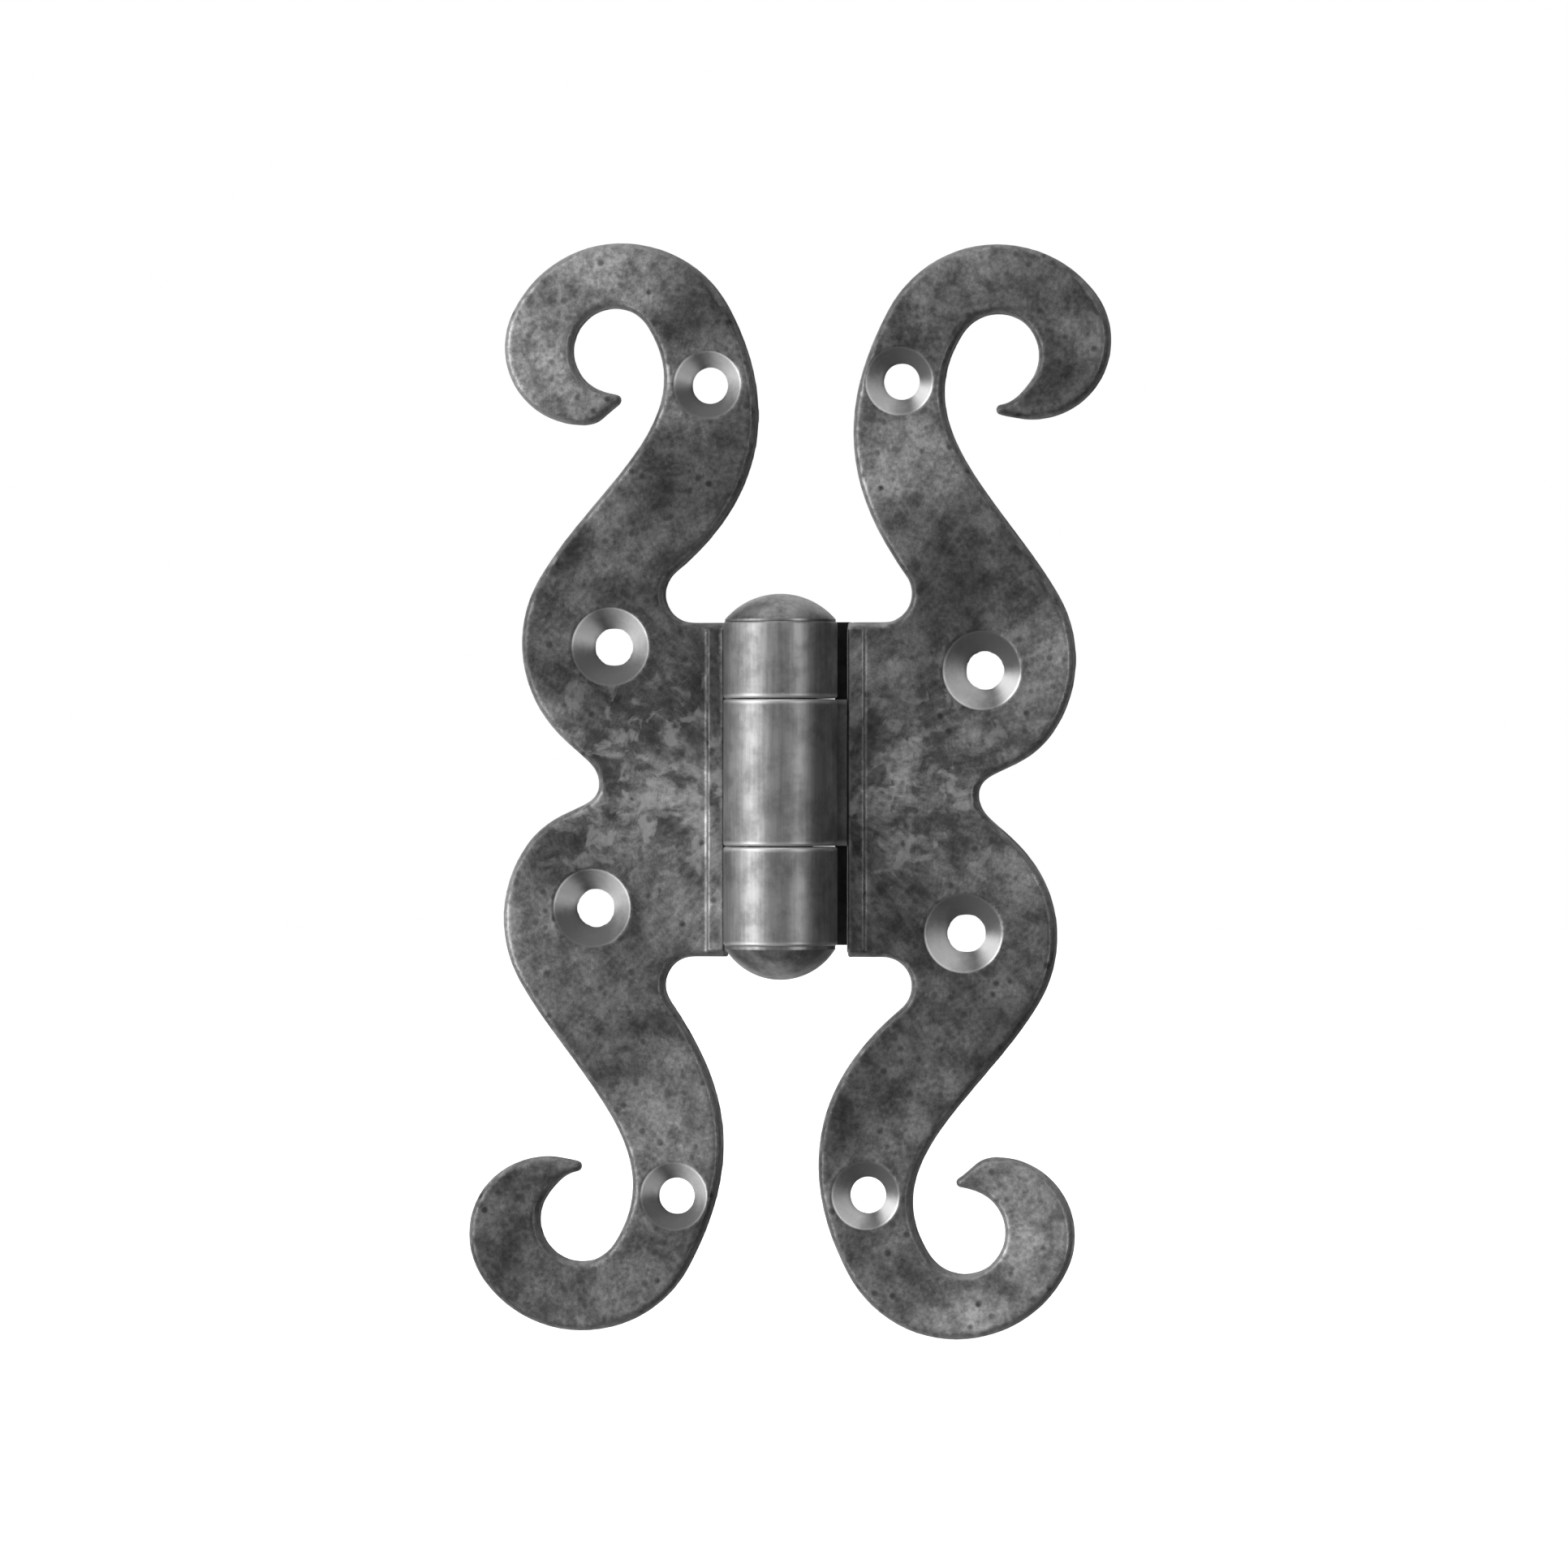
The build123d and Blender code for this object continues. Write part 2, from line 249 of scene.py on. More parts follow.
def chipped_scale(tree, place, colour):
    """The colour with light chips and sooty gaps between them, on the flecked patch by the barrel."""
    where = add_node(tree, "ShaderNodeAttribute", {"attribute_name": "flecked"}).outputs["Fac"]
    scale = add_node(tree, "ShaderNodeTexNoise", None,
                     {"Vector": place, "Scale": per_mm(CHIPS), "Detail": 4.0, "Roughness": 0.55,
                      "Distortion": 0.6})
    chipped = add_node(tree, "ShaderNodeMapRange", SMOOTH,
                       {"Value": scale.outputs["Fac"], "From Min": 0.52, "From Max": 0.66,
                        "To Max": 0.75})
    sooty = add_node(tree, "ShaderNodeMapRange", SMOOTH,
                     {"Value": scale.outputs["Fac"], "From Min": 0.36, "From Max": 0.48,
                      "To Min": 0.8, "To Max": 0.0})
    flecks = add_node(tree, "ShaderNodeMath", {"operation": "MULTIPLY"}, {0: chipped.outputs[0], 1: where})
    soot = add_node(tree, "ShaderNodeMath", {"operation": "MULTIPLY"}, {0: sooty.outputs[0], 1: where})
    dirty = add_node(tree, "ShaderNodeMix", COLOUR_MIX,
                     {MIX_FACTOR: soot.outputs[0], MIX_A: colour, MIX_B: linear("#3a3a3a")})
    flecked = add_node(tree, "ShaderNodeMix", COLOUR_MIX,
                       {MIX_FACTOR: flecks.outputs[0], MIX_A: dirty.outputs[MIX_OUT],
                        MIX_B: linear("#a4a4a4")})
    return flecked.outputs[MIX_OUT]


def patinated_plate():
    """Forged mild steel, blackened and rubbed back: dark mottled grey with cloudy lighter patches, small
    dark pits, and a thin bright line where the edges are rubbed back to bright metal. The countersinks are
    dull tarnish with two wedges of painted highlight, which stand for the gleam of the turned cone against
    the dark steel between them."""
    material, tree, shader = new_material("forged_steel_blackened_and_rubbed_back")
    place = add_node(tree, "ShaderNodeTexCoord").outputs["Object"]
    marked, mottle, mottled, grain = patina(tree, place)
    flecked = chipped_scale(tree, place, marked)
    edge = add_node(tree, "ShaderNodeAttribute", {"attribute_name": "edge_mm"}).outputs["Fac"]
    sink = add_node(tree, "ShaderNodeAttribute", {"attribute_name": "sink_mm"}).outputs["Fac"]
    wedge = add_node(tree, "ShaderNodeAttribute", {"attribute_name": "bare_sink"}).outputs["Fac"]

    ragged = add_node(tree, "ShaderNodeMath", {"operation": "MULTIPLY_ADD"}, {0: mottle, 1: 2.5, 2: edge})
    rubbed = add_node(tree, "ShaderNodeMapRange", SMOOTH,
                      {"Value": ragged.outputs[0], "From Min": 0.9, "From Max": 1.9,
                       "To Min": 0.7, "To Max": 0.0})
    worn = add_node(tree, "ShaderNodeMix", COLOUR_MIX,
                    {MIX_FACTOR: rubbed.outputs[0], MIX_A: flecked, MIX_B: linear("#c4c4c4")})
    cut = add_node(tree, "ShaderNodeMapRange", SMOOTH,
                   {"Value": sink, "From Min": -0.12, "From Max": 0.12, "To Min": 1.0, "To Max": 0.0})
    # The countersinks: dull tarnish, with painted highlights in two wedges for the gleam of the turned cone
    smudged = add_node(tree, "ShaderNodeMath", {"operation": "MULTIPLY_ADD"}, {0: mottle, 1: 0.6, 2: wedge})
    bare = add_node(tree, "ShaderNodeMapRange", SMOOTH,
                    {"Value": smudged.outputs[0], "From Min": 0.3, "From Max": 1.2})
    tarnish_and_gleam = add_node(tree, "ShaderNodeMix", COLOUR_MIX,
                       {MIX_FACTOR: bare.outputs[0], MIX_A: linear("#727272"), MIX_B: linear("#f6f6f6")})
    plate_and_sinks = add_node(tree, "ShaderNodeMix", COLOUR_MIX,
                     {MIX_FACTOR: cut.outputs[0], MIX_A: worn.outputs[MIX_OUT],
                      MIX_B: tarnish_and_gleam.outputs[MIX_OUT]})

    dull = add_node(tree, "ShaderNodeMapRange", None, {"Value": mottled, "To Min": 0.58, "To Max": 0.42})
    smooth = add_node(tree, "ShaderNodeMapRange", None,
                      {"Value": rubbed.outputs[0], "To Min": dull.outputs[0], "To Max": 0.3})
    finish = add_node(tree, "ShaderNodeMapRange", None,
                      {"Value": cut.outputs[0], "To Min": smooth.outputs[0], "To Max": 0.58})
    height = add_node(tree, "ShaderNodeMath", {"operation": "MULTIPLY_ADD"}, {0: grain, 1: 0.4, 2: mottle})
    flat = add_node(tree, "ShaderNodeMapRange", None,
                    {"Value": cut.outputs[0], "To Min": 0.7, "To Max": 0.08})
    bump = add_node(tree, "ShaderNodeBump", None,
                    {"Strength": flat.outputs[0], "Distance": PLATE_BUMP * MM, "Height": height.outputs[0]})
    tree.links.new(plate_and_sinks.outputs[MIX_OUT], shader.inputs["Base Color"])
    tree.links.new(finish.outputs[0], shader.inputs["Roughness"])
    tree.links.new(bump.outputs["Normal"], shader.inputs["Normal"])
    shader.inputs["Metallic"].default_value = 0.9
    return material


def burnished_roll(name, dark, light, roughness, rubbed_ends):
    """Rolled and burnished steel: smoother than the plates, with fine streaks along the barrel and
    faint smoky blotches, so that the softboxes show as tall soft bands. Behind the pin, where no hand
    reaches, it keeps the plates' patina."""
    material, tree, shader = new_material(name)
    place = add_node(tree, "ShaderNodeTexCoord").outputs["Object"]
    drawn = add_node(tree, "ShaderNodeMapping", None,
                     {"Vector": place, "Scale": (1.0, 1.0, STREAK_SQUEEZE)})
    streak = add_node(tree, "ShaderNodeTexNoise", None,
                      {"Vector": drawn.outputs[0], "Scale": per_mm(STREAK), "Detail": 3.0, "Roughness": 0.6})
    smoke = add_node(tree, "ShaderNodeTexNoise", None,
                     {"Vector": place, "Scale": per_mm(SMOKE), "Detail": 5.0, "Roughness": 0.65})
    streaked = add_node(tree, "ShaderNodeMapRange", None,
                        {"Value": streak.outputs["Fac"], "From Min": 0.3, "From Max": 0.7})
    smoky = add_node(tree, "ShaderNodeMapRange", SMOOTH,
                     {"Value": smoke.outputs["Fac"], "From Min": 0.3, "From Max": 0.62})
    base = add_node(tree, "ShaderNodeMix", COLOUR_MIX,
                    {MIX_FACTOR: smoky.outputs[0], MIX_A: linear(dark), MIX_B: linear(light)})
    lined = add_node(tree, "ShaderNodeMix", OVERLAY,
                     {MIX_FACTOR: 0.15, MIX_A: base.outputs[MIX_OUT], MIX_B: streaked.outputs[0]})
    edge = add_node(tree, "ShaderNodeAttribute", {"attribute_name": "edge_mm"}).outputs["Fac"]
    ragged = add_node(tree, "ShaderNodeMath", {"operation": "MULTIPLY_ADD"},
                      {0: smoke.outputs["Fac"], 1: 0.8, 2: edge})
    rubbed = add_node(tree, "ShaderNodeMapRange", SMOOTH,
                      {"Value": ragged.outputs[0], "From Min": 0.55, "From Max": 1.1,
                       "To Min": rubbed_ends, "To Max": 0.0})
    worn = add_node(tree, "ShaderNodeMix", COLOUR_MIX,
                    {MIX_FACTOR: rubbed.outputs[0], MIX_A: lined.outputs[MIX_OUT], MIX_B: linear("#d4d4d4")})
    behind = add_node(tree, "ShaderNodeAttribute", {"attribute_name": "behind_pin"}).outputs["Fac"]
    backed = add_node(tree, "ShaderNodeMix", COLOUR_MIX,
                      {MIX_FACTOR: behind, MIX_A: worn.outputs[MIX_OUT], MIX_B: patina(tree, place)[0]})
    dull = add_node(tree, "ShaderNodeMapRange", None,
                    {"Value": smoky.outputs[0], "To Min": roughness + 0.03, "To Max": roughness})
    finish = add_node(tree, "ShaderNodeMapRange", None,
                      {"Value": behind, "To Min": dull.outputs[0], "To Max": 0.5})
    bump = add_node(tree, "ShaderNodeBump", None,
                    {"Strength": 0.3, "Distance": STREAK_BUMP * MM, "Height": streak.outputs["Fac"]})
    tree.links.new(backed.outputs[MIX_OUT], shader.inputs["Base Color"])
    tree.links.new(finish.outputs[0], shader.inputs["Roughness"])
    tree.links.new(bump.outputs["Normal"], shader.inputs["Normal"])
    shader.inputs["Metallic"].default_value = 1.0
    return material


def paint_crevice_shade(material):
    """Painted shade in the pin's two crevices, where its head and its dome sit on the barrel's ends. It
    keeps close under the head and spreads unevenly down the dome."""
    tree = material.node_tree
    shader = tree.nodes["Principled BSDF"]
    burnished = shader.inputs["Base Color"].links[0].from_socket
    place = add_node(tree, "ShaderNodeTexCoord").outputs["Object"]
    height = add_node(tree, "ShaderNodeSeparateXYZ", None, {"Vector": place}).outputs["Z"]
    shade_border = add_node(tree, "ShaderNodeTexNoise", None,
                     {"Vector": place, "Scale": per_mm(SHADE_WAVE), "Detail": 3.0, "Roughness": 0.6})
    spread = add_node(tree, "ShaderNodeMapRange", None,
                      {"Value": shade_border.outputs["Fac"], "To Min": -SHADE_SPREAD / 2 * MM,
                       "To Max": SHADE_SPREAD / 2 * MM})
    level = add_node(tree, "ShaderNodeMath", {"operation": "ADD"}, {0: height, 1: spread.outputs[0]})
    under_head = add_node(tree, "ShaderNodeMapRange", SMOOTH,
                          {"Value": height, "From Min": BARREL_TOP * MM,
                           "From Max": (BARREL_TOP + HEAD_SHADE) * MM, "To Min": 0.45, "To Max": 0.0})
    over_dome = add_node(tree, "ShaderNodeMapRange", SMOOTH,
                         {"Value": level.outputs[0], "From Min": (BARREL_FLOOR - DOME_SHADE) * MM,
                          "From Max": BARREL_FLOOR * MM, "To Min": 0.0, "To Max": 0.85})
    crevice = add_node(tree, "ShaderNodeMath", {"operation": "MINIMUM"},
                       {0: under_head.outputs[0], 1: over_dome.outputs[0]})
    crevice_shaded = add_node(tree, "ShaderNodeMix", COLOUR_MIX,
                     {MIX_FACTOR: crevice.outputs[0], MIX_A: burnished, MIX_B: linear("#2c2c2c")})
    tree.links.new(crevice_shaded.outputs[MIX_OUT], shader.inputs["Base Color"])


def show(name, data):
    """A new object in the scene from a mesh in metres, a light or a camera."""
    piece = bpy.data.objects.new(name, data)
    bpy.context.collection.objects.link(piece)
    return piece


def mark(mesh, **marks):
    """Numbers at each vertex for the materials to read: one for all, or one for each vertex."""
    for name, values in marks.items():
        values = np.broadcast_to(values, len(mesh.vertices)).astype(np.float32)
        mesh.attributes.new(name, "FLOAT", "POINT").data.foreach_set("value", values)


def as_shaped(piece):
    """A piece's mesh with its modifiers worked in."""
    shaped = piece.evaluated_get(bpy.context.evaluated_depsgraph_get())
    return bpy.data.meshes.new_from_object(shaped)


def block(x0, x1, y0, y1, z0, z1):
    """A plain box between these millimetre sizes."""
    solid = bmesh.new()
    bmesh.ops.create_cube(solid, size=1.0)
    middle = Vector((x0 + x1, y0 + y1, z0 + z1)) / 2 * MM
    size = Vector((abs(x1 - x0), abs(y1 - y0), abs(z1 - z0))) * MM
    bmesh.ops.transform(solid, verts=solid.verts, matrix=Matrix.LocRotScale(middle, None, size))
    mesh = bpy.data.meshes.new("block")
    solid.to_mesh(mesh)
    solid.free()
    return mesh


def face_loops(solid, level):
    """Points of each closed loop round the solid's flat face at this depth, the longest loop first."""
    flat = {f for f in solid.faces if all(abs(v.co.y - level * MM) < WELD * MM for v in f.verts)}
    rim = [e for e in solid.edges if sum(f in flat for f in e.link_faces) == 1]
    unused = set(rim)
    loops = []
    for first in rim:
        if first not in unused:
            continue
        unused.discard(first)
        points = [first.verts[0], first.verts[1]]
        while ways := [e for e in points[-1].link_edges if e in unused]:
            unused.discard(ways[0])
            points.append(ways[0].other_vert(points[-1]))
        loops.append(np.array([(v.co.x, v.co.z) for v in points]) / MM)
    return sorted(loops, key=len, reverse=True)


def distance_to(line, points):
    """Distance in millimetres from points to a closed line, both as (x, z)."""
    closed = np.vstack([line, line[:1]])
    steps = [np.linspace(a, b, max(2, int(np.hypot(*(b - a)) / LINE_STEP)))[:-1]
             for a, b in zip(closed[:-1], closed[1:])]
    dense = np.vstack(steps)
    tree = kdtree.KDTree(len(dense))
    for index, (x, z) in enumerate(dense):
        tree.insert((x, 0.0, z), index)
    tree.balance()
    return np.array([tree.find((x, 0.0, z))[2] for x, z in points])


def read_leaf(node):
    """A CAD leaf as one welded mesh, the loops round its back face, and its countersinks' rims."""
    solid = bmesh.new()
    solid.from_mesh(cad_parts[node].data)
    bmesh.ops.remove_doubles(solid, verts=solid.verts, dist=WELD * MM)
    back_rims = face_loops(solid, BACK_FACE)
    sinks = []
    for loop in face_loops(solid, FRONT_FACE):
        width, height = np.ptp(loop, axis=0)
        if SMALLEST_SINK < width < LARGEST_SINK and abs(width - height) < ROUND_WITHIN:
            sinks.append(loop)
    mesh = bpy.data.meshes.new(node + "_whole")
    solid.to_mesh(mesh)
    solid.free()
    return mesh, back_rims, sinks


def without_barrel(node, side, whole):
    """The leaf's plate alone, cut off where its root meets the barrel."""
    root = ROOT_EDGE + ROOT_CUT
    end = ROOT_HALF + ROOT_CUT
    barrel = show(node + "_barrel",
                  block(-side * BARREL_ROOM, side * root, -BARREL_ROOM, BARREL_ROOM, -end, end))
    mould = show(node + "_mould", whole)
    trim = mould.modifiers.new("trim", "BOOLEAN")
    trim.object = barrel
    trim.operation = "DIFFERENCE"
    trim.solver = "EXACT"
    cut = as_shaped(mould)
    bpy.data.objects.remove(barrel)
    bpy.data.objects.remove(mould)
    return cut


def finely_meshed(node, cut):
    """The plate as an even, fine mesh that lies on the cut one."""
    mould = show(node + "_mould", cut)
    plate = show(node + "_plate", cut.copy())
    grid = plate.modifiers.new("grid", "REMESH")
    grid.mode = "VOXEL"
    grid.voxel_size = GRAIN_OF_MESH * MM
    wrap = plate.modifiers.new("wrap", "SHRINKWRAP")
    wrap.target = mould
    wrap.wrap_method = "NEAREST_SURFACEPOINT"
    mesh = as_shaped(plate)
    bpy.data.objects.remove(plate)
    bpy.data.objects.remove(mould)
    return mesh


def soften_rims(mesh, rims):
    """Break the sharp edges round the plate's back and its holes there, as a file does."""
    points = np.array([v.co for v in mesh.vertices]) / MM
    at_back = np.flatnonzero(points[:, 1] > BACK_FACE - RIM_REACH)
    from_rim = np.min([distance_to(rim, points[at_back][:, [0, 2]]) for rim in rims], axis=0)
    solid = bmesh.new()
    solid.from_mesh(mesh)
    solid.verts.ensure_lookup_table()
    near = [solid.verts[i] for i in at_back[from_rim < RIM_REACH]]
    for _ in range(RIM_PASSES):
        bmesh.ops.smooth_vert(solid, verts=near, factor=RIM_PULL,
                              use_axis_x=True, use_axis_y=True, use_axis_z=True)
    solid.to_mesh(mesh)
    solid.free()


def relief(point, wave, seed):
    """Smooth noise from 0 to 1 with this wavelength in millimetres."""
    return 0.5 + 0.5 * noise.noise(Vector(point) / wave + Vector((seed, seed, seed)))


def soft_patch(from_pin, up_leaf, patch):
    """How much of a soft round patch lies at each point of a leaf."""
    outward, up, reach, strength = patch
    return strength * np.exp(-((from_pin - outward) ** 2 + (up_leaf - up) ** 2) / reach ** 2)


def sink_marks(flat, side, sinks):
    """How far past the nearest countersink's rim each point lies, and how much painted highlight that
    countersink has there.
    """
    sink = np.full(len(flat), NOT_SUNK)
    bare = np.zeros(len(flat))
    for loop in sinks:
        outward = -side * (flat - (loop.min(axis=0) + loop.max(axis=0)) / 2)
        past_rim = np.hypot(*outward.T) - np.ptp(loop[:, 0]) / 2
        turn = np.degrees(np.arctan2(outward[:, 1], outward[:, 0]))
        # Painted highlight: two bright wedges round each countersink
        wedges = [strength * np.exp(-(((turn - middle + 180) % 360 - 180) / half_width) ** 2)
                  for middle, half_width, strength in PAINTED_GLEAM_WEDGES]
        bare = np.where(past_rim < sink, np.max(wedges, axis=0), bare)
        sink = np.minimum(sink, past_rim)
    return sink, bare


def forged_plate(node, side, seed):
    """The leaf's scroll plate outside the barrel, finely meshed, with forging relief, wear marks and painted
    highlights in its countersinks.
    """
    whole, back_rims, sinks = read_leaf(node)
    mesh = finely_meshed(node, without_barrel(node, side, whole))
    soften_rims(mesh, back_rims)
    points = np.array([v.co for v in mesh.vertices]) / MM
    normals = np.array([v.normal for v in mesh.vertices])
    flat = points[:, [0, 2]]
    from_pin = np.abs(points[:, 0])
    up_leaf = -side * points[:, 2]

    # Wear: rubbed edges, with the rib's own beside the barrel, and hand-rubbed patches; and painted
    # highlights in the countersinks
    edge = distance_to(back_rims[0], flat)
    from_rib = np.minimum(np.abs(from_pin - ROOT_EDGE),
                          np.abs(from_pin - ROOT_EDGE - RIB_WIDTH) + RIB_OUTER_EDGE)
    edge = np.where(np.abs(up_leaf) < ROOT_HALF, np.minimum(edge, from_rib), edge)
    hand = np.max([soft_patch(from_pin, up_leaf, patch) for patch in RUBBED_PATCHES], axis=0)
    flecked = soft_patch(from_pin, up_leaf, FLECKED_PATCH)
    sink, bare = sink_marks(flat, side, sinks)

    # Relief: only inwards, and none on the back or in the countersinks
    front = np.clip((BACK_FACE - FADE_BY_BACK - points[:, 1]) / FADE_BY_BACK, 0, 1)
    clear = np.clip(sink / FADE_BY_SINK, 0, 1) * front
    depth = np.array([sum(deep * relief(p, wave, seed) for wave, deep in FORGING) for p in points])
    points = points - normals * (depth * clear)[:, None]
    mesh.vertices.foreach_set("co", (points * MM).ravel())

    # Marks: the plate's sides stay unrubbed, and its back plain, dark and flat
    on_side = np.clip((points[:, 1] - FRONT_FACE - SIDE_START) / SIDE_FADE, 0, 1)
    on_back = points[:, 1] > BACK_FACE - BACK_SKIN
    mark(mesh, edge_mm=edge + SIDE_UNRUBBED * on_side, sink_mm=np.where(on_back, NOT_SUNK, sink),
         bare_sink=bare, hand_rubbed=np.where(on_back, 0, hand), flecked=np.where(on_back, 0, flecked))
    mesh.shade_smooth()
    mesh.update()
    mesh.normals_split_custom_set_from_vertices([(0, 1, 0) if back else (0, 0, 0) for back in on_back])
    mesh.materials.append(plate_steel)
    return mesh


def rolled_knuckle(floor, top, side):
    """One knuckle: the sheet runs in behind the pin and curls round until it meets its own front."""
    rounding = [(KNUCKLE_EDGE * (1 - math.sin(t)), KNUCKLE_EDGE * (1 - math.cos(t)))
                for t in np.radians(ROUNDING_ANGLES)]
    rows = [(floor + rise, trim, rise) for trim, rise in rounding]
    rows += [(floor + RUBBED_REACH, 0.0, RUBBED_REACH), (top - RUBBED_REACH, 0.0, RUBBED_REACH)]
    rows += [(top - rise, trim, rise) for trim, rise in reversed(rounding)]
    sweeps = np.radians(np.linspace(0, ROLL_SWEEP, ROLL_POINTS))
    root = side * (ROOT_EDGE + ROOT_CUT)
    solid = bmesh.new()
    rings = []
    for height, trim, _ in rows:
        radius = BARREL_RADIUS - trim
        outer = [(-side * radius * math.sin(a), radius * math.cos(a)) for a in sweeps]
        inner = [(-side * BORE_RADIUS * math.sin(a), BORE_RADIUS * math.cos(a)) for a in reversed(sweeps)]
        ring = outer + inner[:-1] + [(0, BORE_RADIUS), (root, FRONT_FACE), (root, BACK_FACE)]
        rings.append([solid.verts.new((x * MM, y * MM, height * MM)) for x, y in ring])
    for low, high in zip(rings[:-1], rings[1:]):
        for i in range(len(low)):
            j = (i + 1) % len(low)
            solid.faces.new((low[i], low[j], high[j], high[i]))
    solid.faces.new(list(reversed(rings[0])))
    solid.faces.new(rings[-1])
    bmesh.ops.recalc_face_normals(solid, faces=solid.faces)
    mesh = bpy.data.meshes.new("knuckle")
    solid.to_mesh(mesh)
    solid.free()
    mesh.shade_smooth()
    mesh.set_sharp_from_angle(angle=math.radians(CREASE_ANGLE))

    # Marks: rubbed ends, but not under the pin's head, and patina behind the pin
    depth = np.array([v.co.y for v in mesh.vertices]) / MM
    behind = np.clip((depth - PATINA_START) / (PATINA_FULL - PATINA_START), 0, 1)
    from_end = np.repeat([rise for _, _, rise in rows], len(rings[0]))
    under_head = np.repeat([height > BARREL_TOP - RUBBED_REACH for height, _, _ in rows], len(rings[0]))
    mark(mesh, edge_mm=np.where(under_head, FAR_FROM_EDGE, from_end), behind_pin=behind)
    mesh.materials.append(roll_steel)
    return mesh


def root_ledge(floor, top, side):
    """A thin ledge of the root behind the other leaf's knuckle: painted nearly black as shadow on its front
    and sides, but patinated behind and at its ends."""
    mesh = block(side * (ROOT_EDGE + ROOT_CUT), side * (ROOT_EDGE - LEDGE_REACH),
                 BACK_FACE - LEDGE_THICKNESS, BACK_FACE, floor, top)
    mark(mesh, edge_mm=FAR_FROM_EDGE, sink_mm=NOT_SUNK)
    mesh.materials.append(ledge_shadow_steel)
    mesh.materials.append(plate_steel)
    for face in mesh.polygons:
        face.material_index = int(face.normal.y > FACES_AWAY or abs(face.normal.z) > FACES_AWAY)
    return mesh


def leaf(name, node, side, knuckles, ledges, body, seed):
    """A whole leaf: its forged plate joined to its knuckles and ledges, in place of the CAD node."""
    meshes = [forged_plate(node, side, seed)]
    meshes += [rolled_knuckle(floor, top, side) for floor, top in knuckles]
    meshes += [root_ledge(floor, top, side) for floor, top in ledges]
    parts = [show(name, mesh) for mesh in meshes]
    with bpy.context.temp_override(active_object=parts[0], selected_editable_objects=parts):
        bpy.ops.object.join()
    piece = parts[0]
    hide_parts(node)
    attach(piece, body)


# The plates: dark and mottled, with bright worn edges and painted highlights in the countersinks
plate_steel = patinated_plate()

# The barrel: smoother and lighter, so that it shows soft bands of light and bright rubbed ends
roll_steel = burnished_roll("rolled_steel_burnished_on_the_barrel", "#787878", "#969696", 0.45, 0.8)

# The ledges: painted nearly black as shade, and dull, so that they read as a shadow beside the barrel
ledge_shadow_steel = burnished_roll("cut_steel_painted_as_shadow_behind_the_barrel", "#343434", "#4a4a4a", 0.6, 0.0)

# The pin: the lightest and smoothest, so that its head gleams above the painted shade in its crevices
pin_steel = burnished_roll("turned_steel_pin_riveted_with_painted_shade", "#7a7a7a", "#b8b8b8", 0.38, 0.0)
paint_crevice_shade(pin_steel)

# The hinge
leaf("frame_leaf_forged", "frame_leaf", -1, FRAME_KNUCKLES, FRAME_LEDGES, "frame_side", seed=3.7)
leaf("door_leaf_forged", "door_leaf", 1, DOOR_KNUCKLES, DOOR_LEDGES, "door_side", seed=21.3)
for pin_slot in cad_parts["hinge_pin"].material_slots:
    pin_slot.material = pin_steel

# Floor: matt paper just under the hinge, which glows a little so that it stays pale and even
floor_corners = [(x * FLOOR_HALF, y * FLOOR_HALF, 0) for x, y in ((-1, -1), (1, -1), (1, 1), (-1, 1))]
floor_mesh = bpy.data.meshes.new("floor")
floor_mesh.from_pydata(floor_corners, [], [(0, 1, 2, 3)])
paper, _, paper_shader = new_material("pale_studio_paper")
paper_shader.inputs["Base Color"].default_value = linear("#f4f4f4")
paper_shader.inputs["Roughness"].default_value = 0.9
paper_shader.inputs["Emission Color"].default_value = linear("#ffffff")
paper_shader.inputs["Emission Strength"].default_value = 0.8
floor_mesh.materials.append(paper)
floor = show("floor", floor_mesh)
floor.location.z = cad_bounds[0].z - FLOOR_GAP * MM
floor.visible_glossy = False
floor.visible_diffuse = False

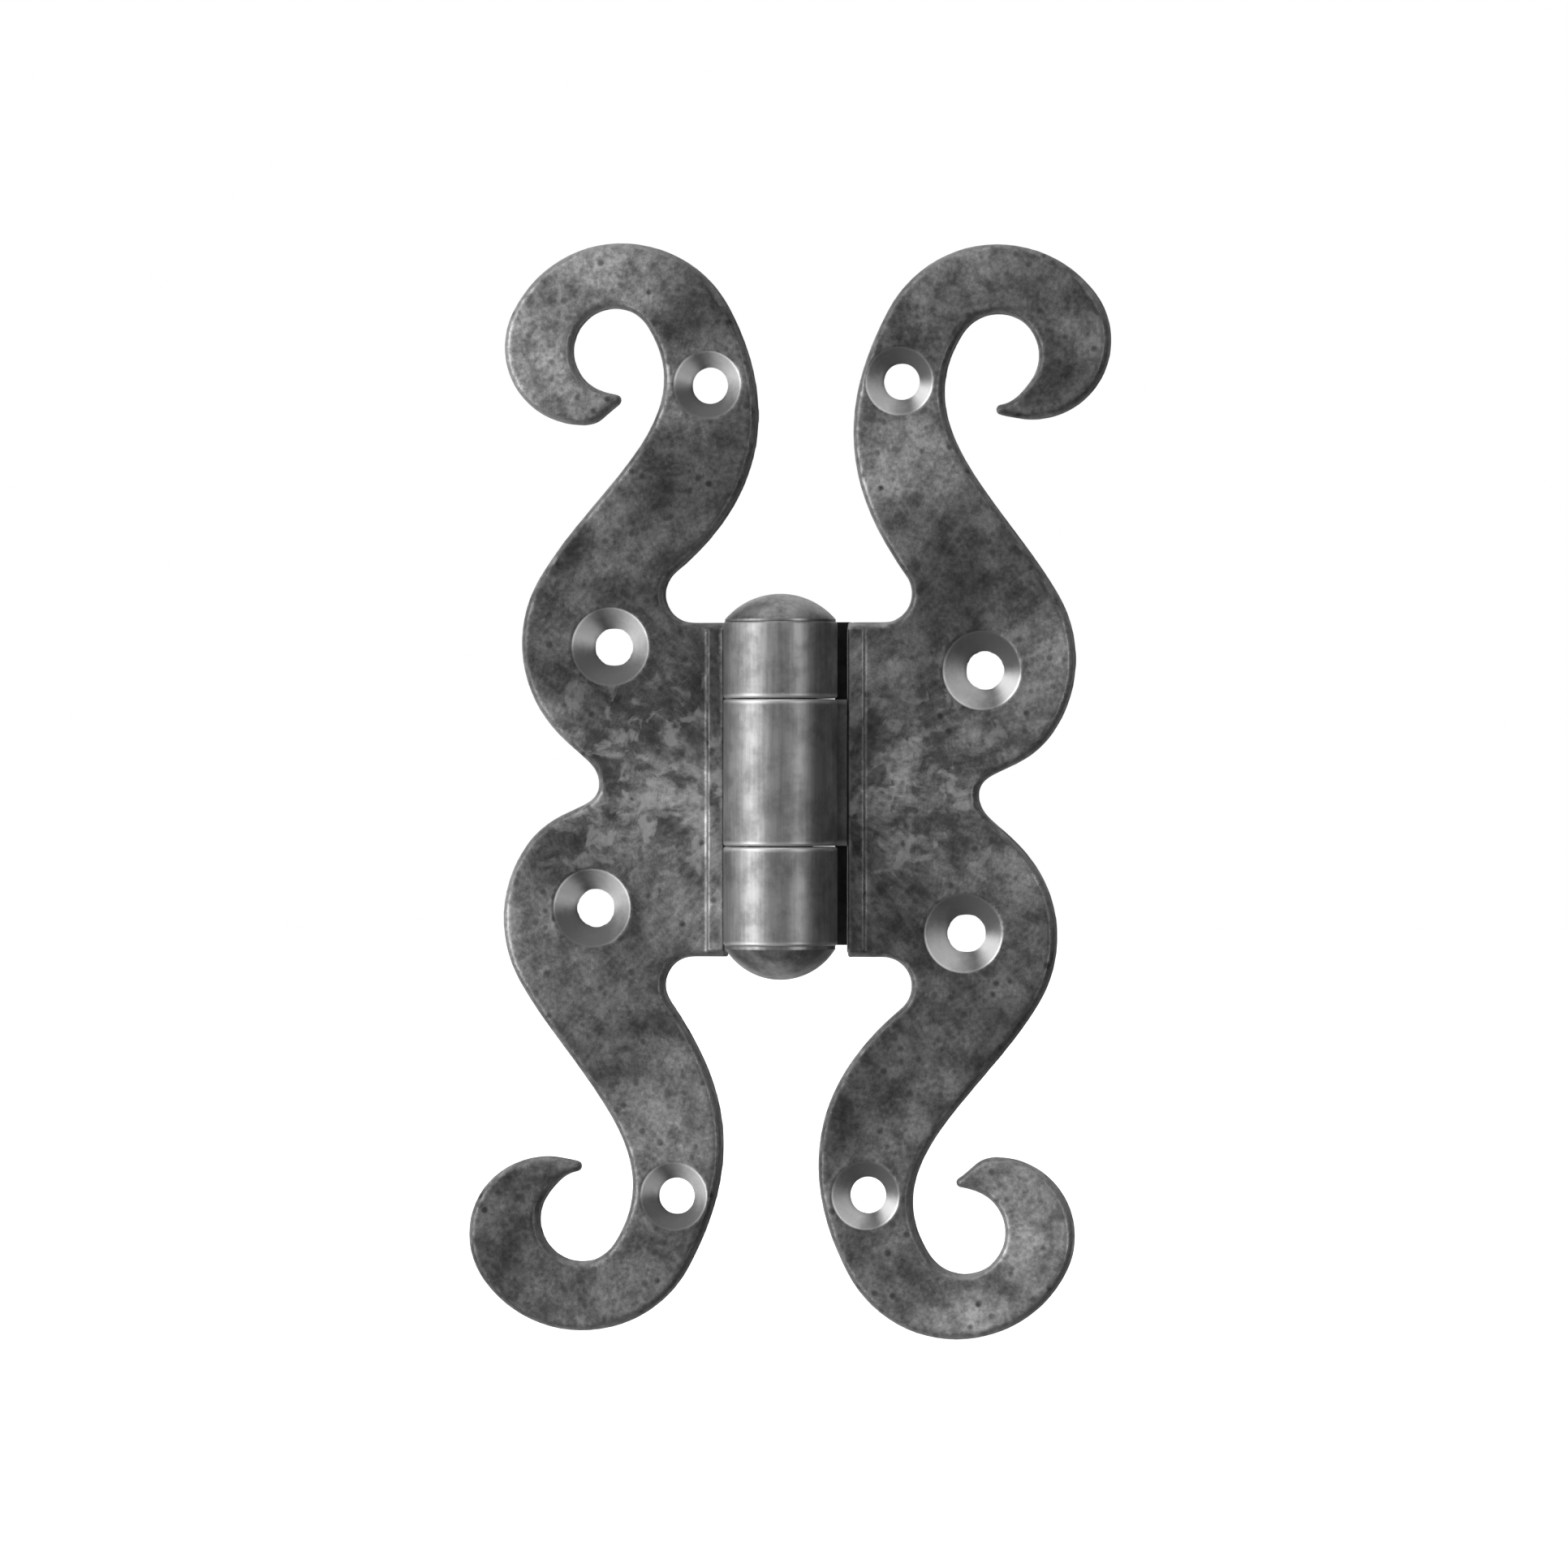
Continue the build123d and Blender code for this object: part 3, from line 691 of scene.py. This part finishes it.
# Studio: a pale world that the camera sees as white, dimmer in the metal's reflections
world = bpy.data.worlds.new("pale_studio")
world.use_nodes = True
bpy.context.scene.world = world
seen = add_node(world.node_tree, "ShaderNodeLightPath").outputs["Is Camera Ray"]
way = add_node(world.node_tree, "ShaderNodeTexCoord").outputs["Generated"]
lean = add_node(world.node_tree, "ShaderNodeVectorMath", {"operation": "DOT_PRODUCT"},
                {0: way, 1: ROOM_LEAN})
room = add_node(world.node_tree, "ShaderNodeMapRange", None,
                {"Value": lean.outputs["Value"], "From Min": -1.0, "From Max": 1.0,
                 "To Min": ROOM_DIM, "To Max": ROOM_BRIGHT})
glow = add_node(world.node_tree, "ShaderNodeMapRange", None,
                {"Value": seen, "To Min": room.outputs[0], "To Max": 1.0})
backdrop = world.node_tree.nodes["Background"]
backdrop.inputs["Color"].default_value = linear("#ffffff")
world.node_tree.links.new(glow.outputs[0], backdrop.inputs["Strength"])


def softbox(name, azimuth, height, distance, size, brightness):
    """A soft area light aimed at the hinge, in metres; azimuth is from the front, towards +X."""
    lamp = bpy.data.lights.new(name, "AREA")
    lamp.shape = "RECTANGLE"
    lamp.size, lamp.size_y = size
    lamp.energy = brightness * math.pi * size[0] * size[1]
    box = show(name, lamp)
    turn = math.radians(azimuth)
    box.location = (distance * math.sin(turn), -distance * math.cos(turn), height)
    box.rotation_mode = "QUATERNION"
    box.rotation_quaternion = (-box.location).to_track_quat("-Z", "Y")


softbox("key_softbox", azimuth=-48, height=0.0, distance=1.7, size=(1.0, 2.0), brightness=4.0)
softbox("fill_softbox", azimuth=47, height=0.0, distance=1.0, size=(0.26, 0.9), brightness=3.6)
softbox("top_softbox", azimuth=-5, height=0.9, distance=0.35, size=(0.8, 0.4), brightness=1.0)

# Camera at the photograph's angle, framed so that its pixels fall where the photograph's do
camera_data = bpy.data.cameras.new("camera")
camera_data.lens = CAMERA_LENS
camera_data.sensor_width = SENSOR_WIDTH
camera_data.clip_start = NEAREST_VIEW
camera = show("camera", camera_data)
turn = math.radians(CAMERA_AZIMUTH)
back = Vector((math.sin(turn), -math.cos(turn), 0))
right = Vector((math.cos(turn), math.sin(turn), 0))
distance = PHOTO_WIDTH / PIXELS_PER_MM * MM * CAMERA_LENS / SENSOR_WIDTH
across = (PHOTO_WIDTH / 2 - HINGE_MIDDLE[0]) / PIXELS_PER_MM * MM
upward = (HINGE_MIDDLE[1] - PHOTO_WIDTH / 2) / PIXELS_PER_MM * MM
target = Vector((0, FRONT_FACE * MM, 0)) + right * across + Vector((0, 0, upward))
camera.location = target + back * distance
camera.rotation_mode = "QUATERNION"
camera.rotation_quaternion = (-back).to_track_quat("-Z", "Y")
bpy.context.scene.camera = camera
bpy.context.scene.view_settings.view_transform = "Standard"
